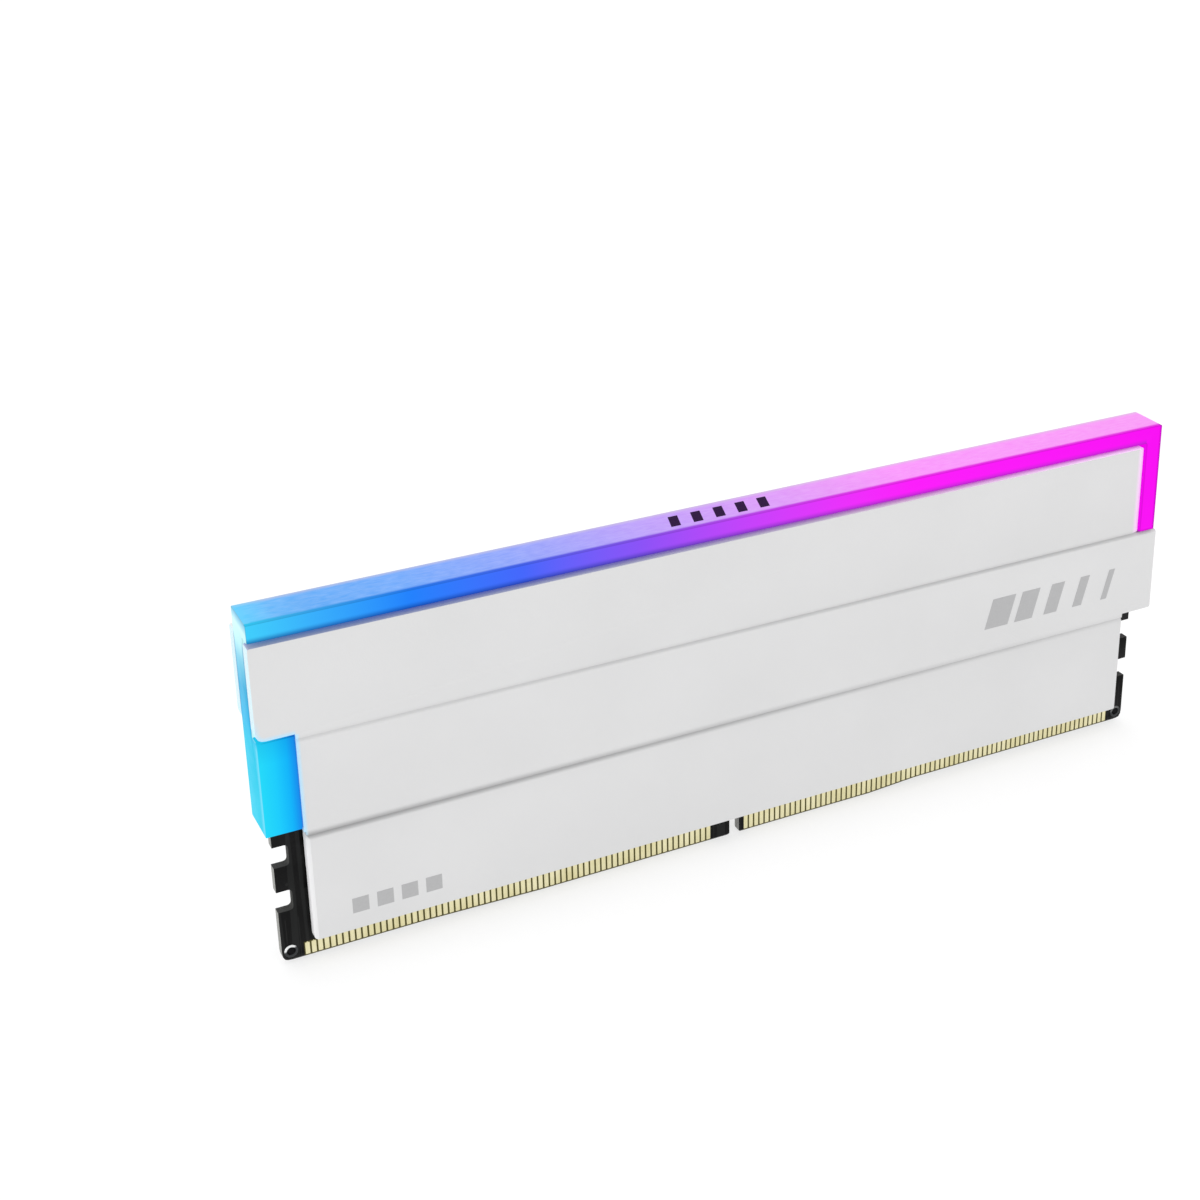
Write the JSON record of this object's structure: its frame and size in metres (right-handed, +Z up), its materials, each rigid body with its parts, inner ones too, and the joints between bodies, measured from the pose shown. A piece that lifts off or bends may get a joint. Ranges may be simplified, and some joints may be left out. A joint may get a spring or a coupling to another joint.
{
  "type": "ram module",
  "caption": "Desktop memory module: black board with a gold edge connector, white stepped heat spreaders and a lit milky guide along its top and ends.",
  "frame": {"origin": "on the board's bottom contact edge, half way along it and half way through the board's thickness", "axes": "+X along the module to the right seen from its front, +Y to its rear, +Z up from the contact edge to the light guide; the front carries the memory chips"},
  "size_m": [0.1365, 0.0079, 0.05],
  "materials": {
    "board": "black solder mask over glass-epoxy board, satin",
    "gold": "hard gold plating over copper, lightly worn",
    "paint": "white satin paint on stamped aluminium",
    "guide": "milky translucent plastic, lit from inside, blue at the left to magenta at the right",
    "chip": "black moulded epoxy, fine matt",
    "ferrite": "dark grey pressed ferrite",
    "capacitor": "brown ceramic with tinned ends",
    "led": "white reflector cup with a clear lens",
    "pad": "soft grey silicone thermal pad"
  },
  "bodies": {
    "root": {"circuit_board": "board", "front_contacts_left": "gold", "front_contacts_right": "gold", "rear_contacts_left": "gold", "rear_contacts_right": "gold", "front_heat_spreader": "paint", "rear_heat_spreader": "paint", "light_guide": "guide", "memory_chip_1": "chip", "memory_chip_2": "chip", "memory_chip_3": "chip", "memory_chip_4": "chip", "memory_chip_5": "chip", "memory_chip_6": "chip", "memory_chip_7": "chip", "memory_chip_8": "chip", "power_chip": "chip", "power_inductor_1": "ferrite", "power_inductor_2": "ferrite", "power_inductor_3": "ferrite", "bulk_capacitor_1": "capacitor", "bulk_capacitor_2": "capacitor", "bulk_capacitor_3": "capacitor", "bulk_capacitor_4": "capacitor", "bulk_capacitor_5": "capacitor", "bulk_capacitor_6": "capacitor", "spd_hub_chip": "chip", "light_controller_chip": "chip", "led_1": "led", "led_2": "led", "led_3": "led", "led_4": "led", "led_5": "led", "led_6": "led", "led_7": "led", "led_8": "led", "front_pad_left": "pad", "front_pad_right": "pad", "power_chip_pad": "pad", "rear_pad": "pad"}
  },
  "joints": []
}
